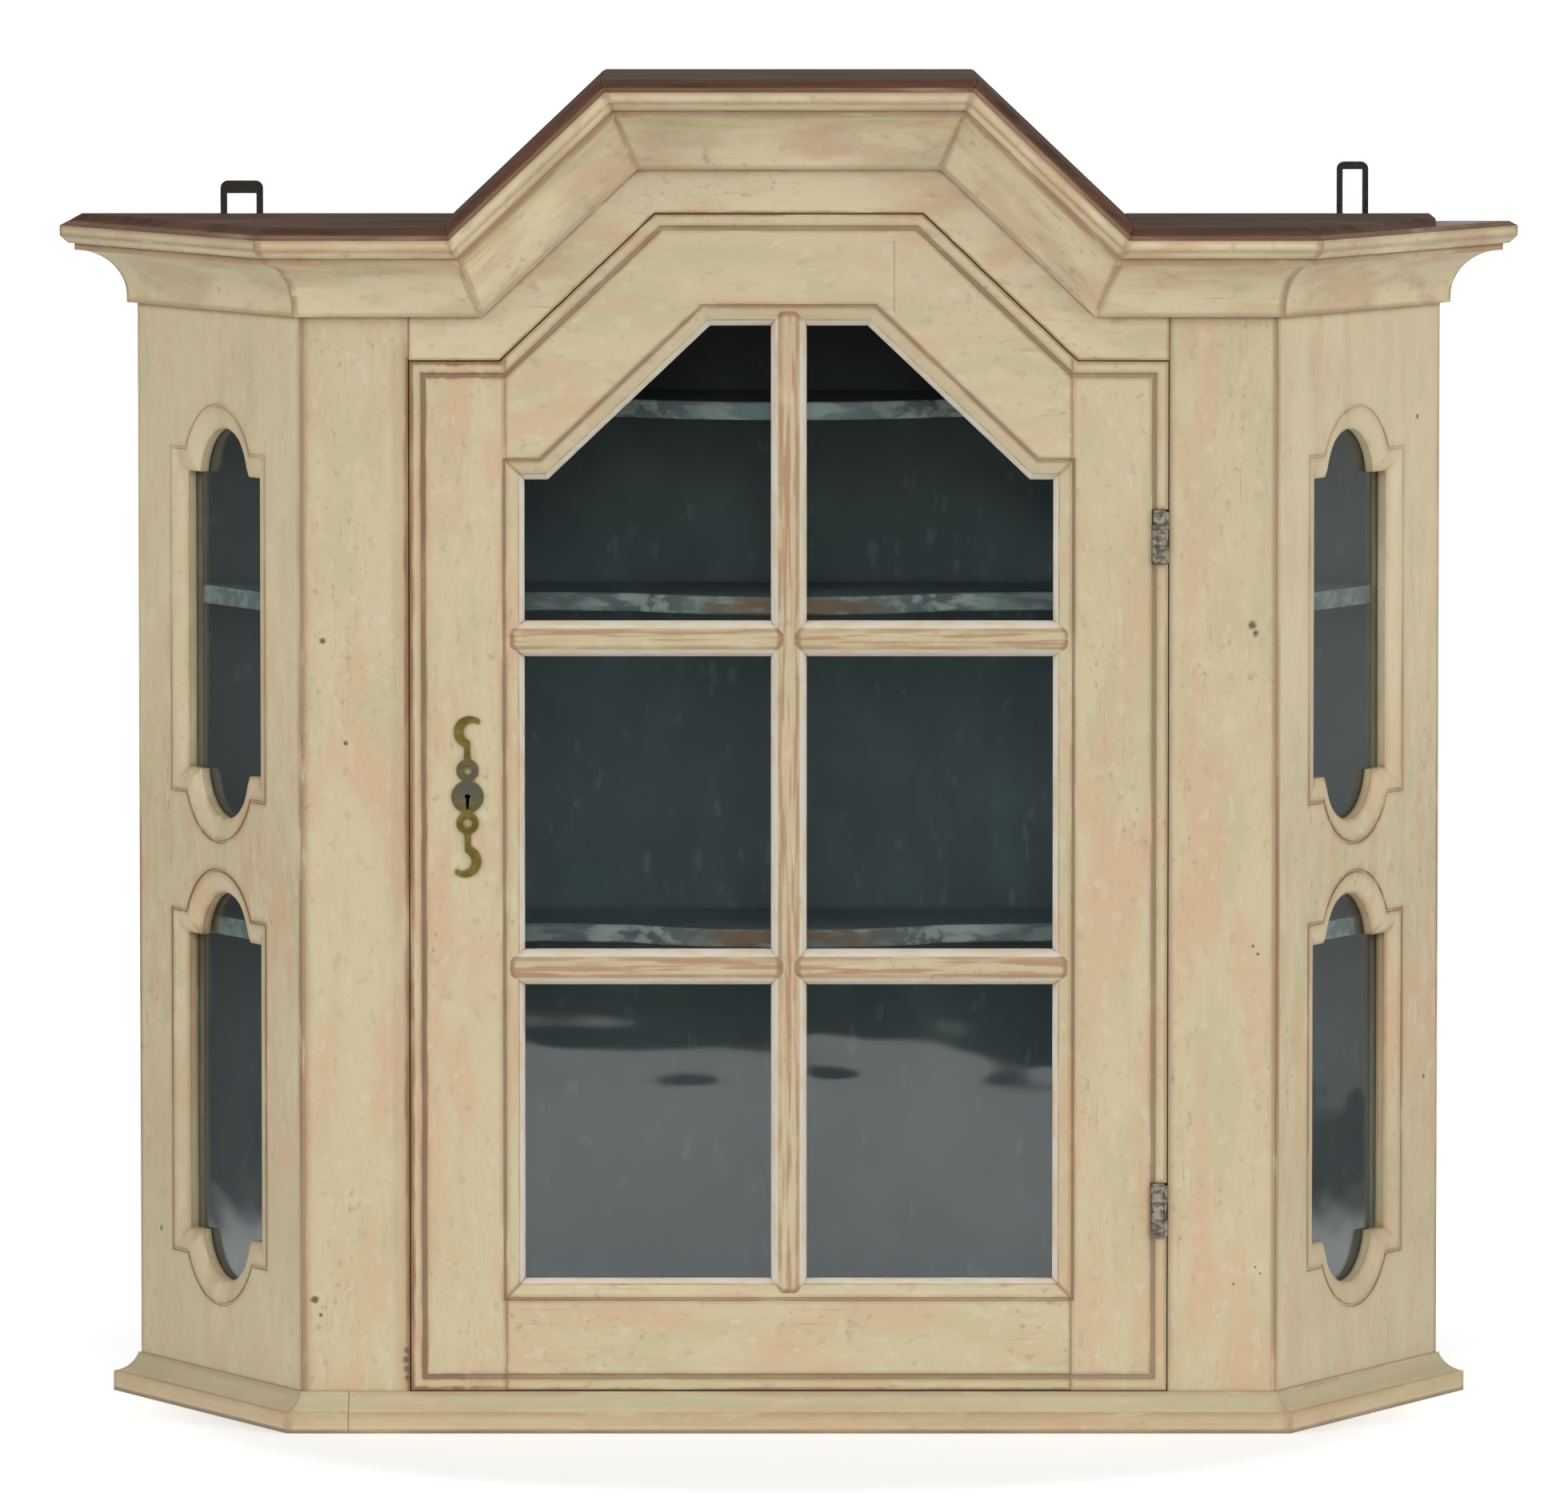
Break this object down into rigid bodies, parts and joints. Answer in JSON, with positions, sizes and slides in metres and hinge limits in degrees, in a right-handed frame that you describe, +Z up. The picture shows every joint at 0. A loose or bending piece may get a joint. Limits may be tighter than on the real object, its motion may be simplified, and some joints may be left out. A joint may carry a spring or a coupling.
{
  "type": "hanging cabinet",
  "caption": "Hanging cabinet with a broken-arch cornice, canted glazed sides, serpentine shelves and one hinged glazed door with a sliding lock bolt.",
  "frame": {"origin": "on the base, at the middle of the whole width and depth", "axes": "+Z up, +Y towards the wall, +X to the right as one faces the door"},
  "size_m": [0.9578, 0.2504, 0.8725],
  "materials": {
    "painted_pine": "worn matt oil paint, cream ochre",
    "painted_shelf_pine": "worn matt paint, blue grey",
    "carcass_pine": "blue grey paint inside, bare aged pine outside",
    "roof_pine": "bare pine, dark with age and dust",
    "window_glass": "clear, slightly wavy",
    "linseed_putty": "matt",
    "wrought_iron": "forged, dark and slightly rusted",
    "aged_brass": "aged, olive"
  },
  "bodies": {
    "root": {"stile_left": "painted_pine", "stile_right": "painted_pine", "frieze_board": "painted_pine", "side_panel_left": "painted_pine", "side_panel_right": "painted_pine", "cornice_top": "painted_pine", "cornice_slope_left": "painted_pine", "cornice_slope_right": "painted_pine", "cornice_shoulder_left": "painted_pine", "cornice_shoulder_right": "painted_pine", "cornice_side_left": "painted_pine", "cornice_side_right": "painted_pine", "base_moulding_front": "painted_pine", "base_moulding_left": "painted_pine", "base_moulding_right": "painted_pine", "shelf_top": "painted_shelf_pine", "shelf_middle": "painted_shelf_pine", "shelf_bottom": "painted_shelf_pine", "door_stops": "painted_shelf_pine", "bottom_board": "carcass_pine", "back_board_inner_left": "carcass_pine", "back_board_inner_right": "carcass_pine", "back_board_outer_left": "carcass_pine", "back_board_outer_right": "carcass_pine", "roof_board_top": "roof_pine", "roof_board_slope_left": "roof_pine", "roof_board_slope_right": "roof_pine", "roof_board_shoulder_left": "roof_pine", "roof_board_shoulder_right": "roof_pine", "side_pane_left_upper": "window_glass", "side_pane_left_lower": "window_glass", "side_pane_right_upper": "window_glass", "side_pane_right_lower": "window_glass", "side_window_putty": "linseed_putty", "hanger_left": "wrought_iron", "hanger_right": "wrought_iron", "back_nails": "wrought_iron", "stile_nails": "wrought_iron", "strike_plate": "wrought_iron", "hinge_leaf_frame_upper": "wrought_iron", "hinge_leaf_frame_lower": "wrought_iron", "hinge_pins": "wrought_iron"},
    "door": {"door_stile_lock": "painted_pine", "door_stile_hinge": "painted_pine", "door_arch_rail": "painted_pine", "door_bottom_rail": "painted_pine", "glazing_bar_upright": "painted_pine", "glazing_bar_upper": "painted_pine", "glazing_bar_lower": "painted_pine", "door_panes_top": "window_glass", "door_panes_middle": "window_glass", "door_panes_bottom": "window_glass", "door_putty": "linseed_putty", "hinge_leaf_door_upper": "wrought_iron", "hinge_leaf_door_lower": "wrought_iron", "lock_case": "wrought_iron", "lock_spring": "wrought_iron", "escutcheon": "aged_brass", "escutcheon_pins": "aged_brass"},
    "bolt": {"lock_bolt": "wrought_iron"}
  },
  "joints": [
    {"name": "door_swing", "type": "hinge", "parent": "root", "child": "door", "pos_m": [0.238, -0.08075, 0.35], "axis": [0, 0, 1], "range_deg": [0, 120]},
    {"name": "lock_bolt_throw", "type": "slide", "parent": "door", "child": "bolt", "axis": [-1, 0, 0], "range_m": [0, 0.014]}
  ]
}
